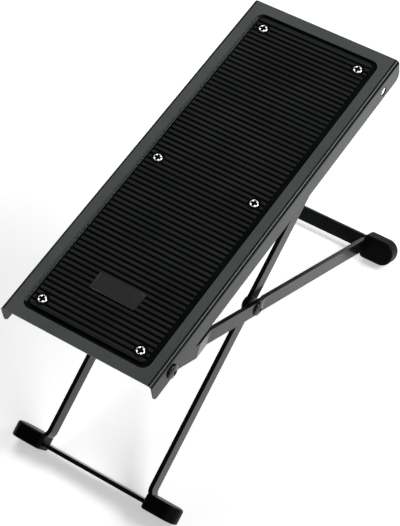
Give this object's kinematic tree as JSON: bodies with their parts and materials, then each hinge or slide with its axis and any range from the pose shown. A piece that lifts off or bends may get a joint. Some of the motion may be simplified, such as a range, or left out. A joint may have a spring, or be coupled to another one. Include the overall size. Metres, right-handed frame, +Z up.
{
  "type": "folding footrest",
  "caption": "Low folding footrest for a seated guitarist: sloping sheet tread with a ribbed mat on crossed flat-bar legs, set in height by a lock rod.",
  "frame": {"origin": "on the floor, in the middle of the object's outer box", "axes": "+X across the tread to the right, +Y from its front edge to its rear, +Z up"},
  "size_m": [0.141, 0.2864, 0.1865],
  "materials": {
    "black_steel": "satin",
    "rivet_black": "semi-gloss",
    "mat_rubber": "matt",
    "foot_rubber": "matt",
    "badge_metal": "satin",
    "nickel": "polished",
    "zinc": "satin"
  },
  "bodies": {
    "rear_frame": {"rear_leg_left": "black_steel", "rear_leg_right": "black_steel", "rear_crossbar": "black_steel", "rear_crossbar_rivets": "zinc", "rear_foot_left": "foot_rubber", "rear_foot_right": "foot_rubber", "cross_rivet_left": "rivet_black", "cross_rivet_right": "rivet_black"},
    "front_frame": {"front_leg_left": "black_steel", "front_leg_right": "black_steel", "front_crossbar": "black_steel", "front_crossbar_rivets": "zinc", "front_foot_left": "foot_rubber", "front_foot_right": "foot_rubber", "cross_spacer_left": "zinc", "cross_spacer_right": "zinc", "lock_rod": "zinc", "rod_clip_left": "zinc", "rod_clip_right": "zinc"},
    "tread": {"tread_rivet_left": "rivet_black", "tread_rivet_right": "rivet_black", "tread_washer_left": "zinc", "tread_washer_right": "zinc", "tread_plate": "black_steel", "tread_mat": "mat_rubber", "badge_plate": "badge_metal", "mat_screws": "nickel", "mat_nuts": "zinc", "height_rack_left": "black_steel", "height_rack_right": "black_steel"}
  },
  "joints": [
    {"name": "leg_fold", "type": "hinge", "parent": "rear_frame", "child": "front_frame", "pos_m": [0, -0.01452, 0.08792], "axis": [1, 0, 0], "range_deg": [-53, 22]},
    {"name": "tread_turn", "type": "hinge", "parent": "rear_frame", "child": "tread", "pos_m": [0, -0.12146, 0.14454], "axis": [1, 0, 0], "range_deg": [-30.6, 12.8]}
  ],
  "couplings": [
    {"joint": "tread_turn", "follows": "leg_fold", "ratio": 0.575}
  ]
}
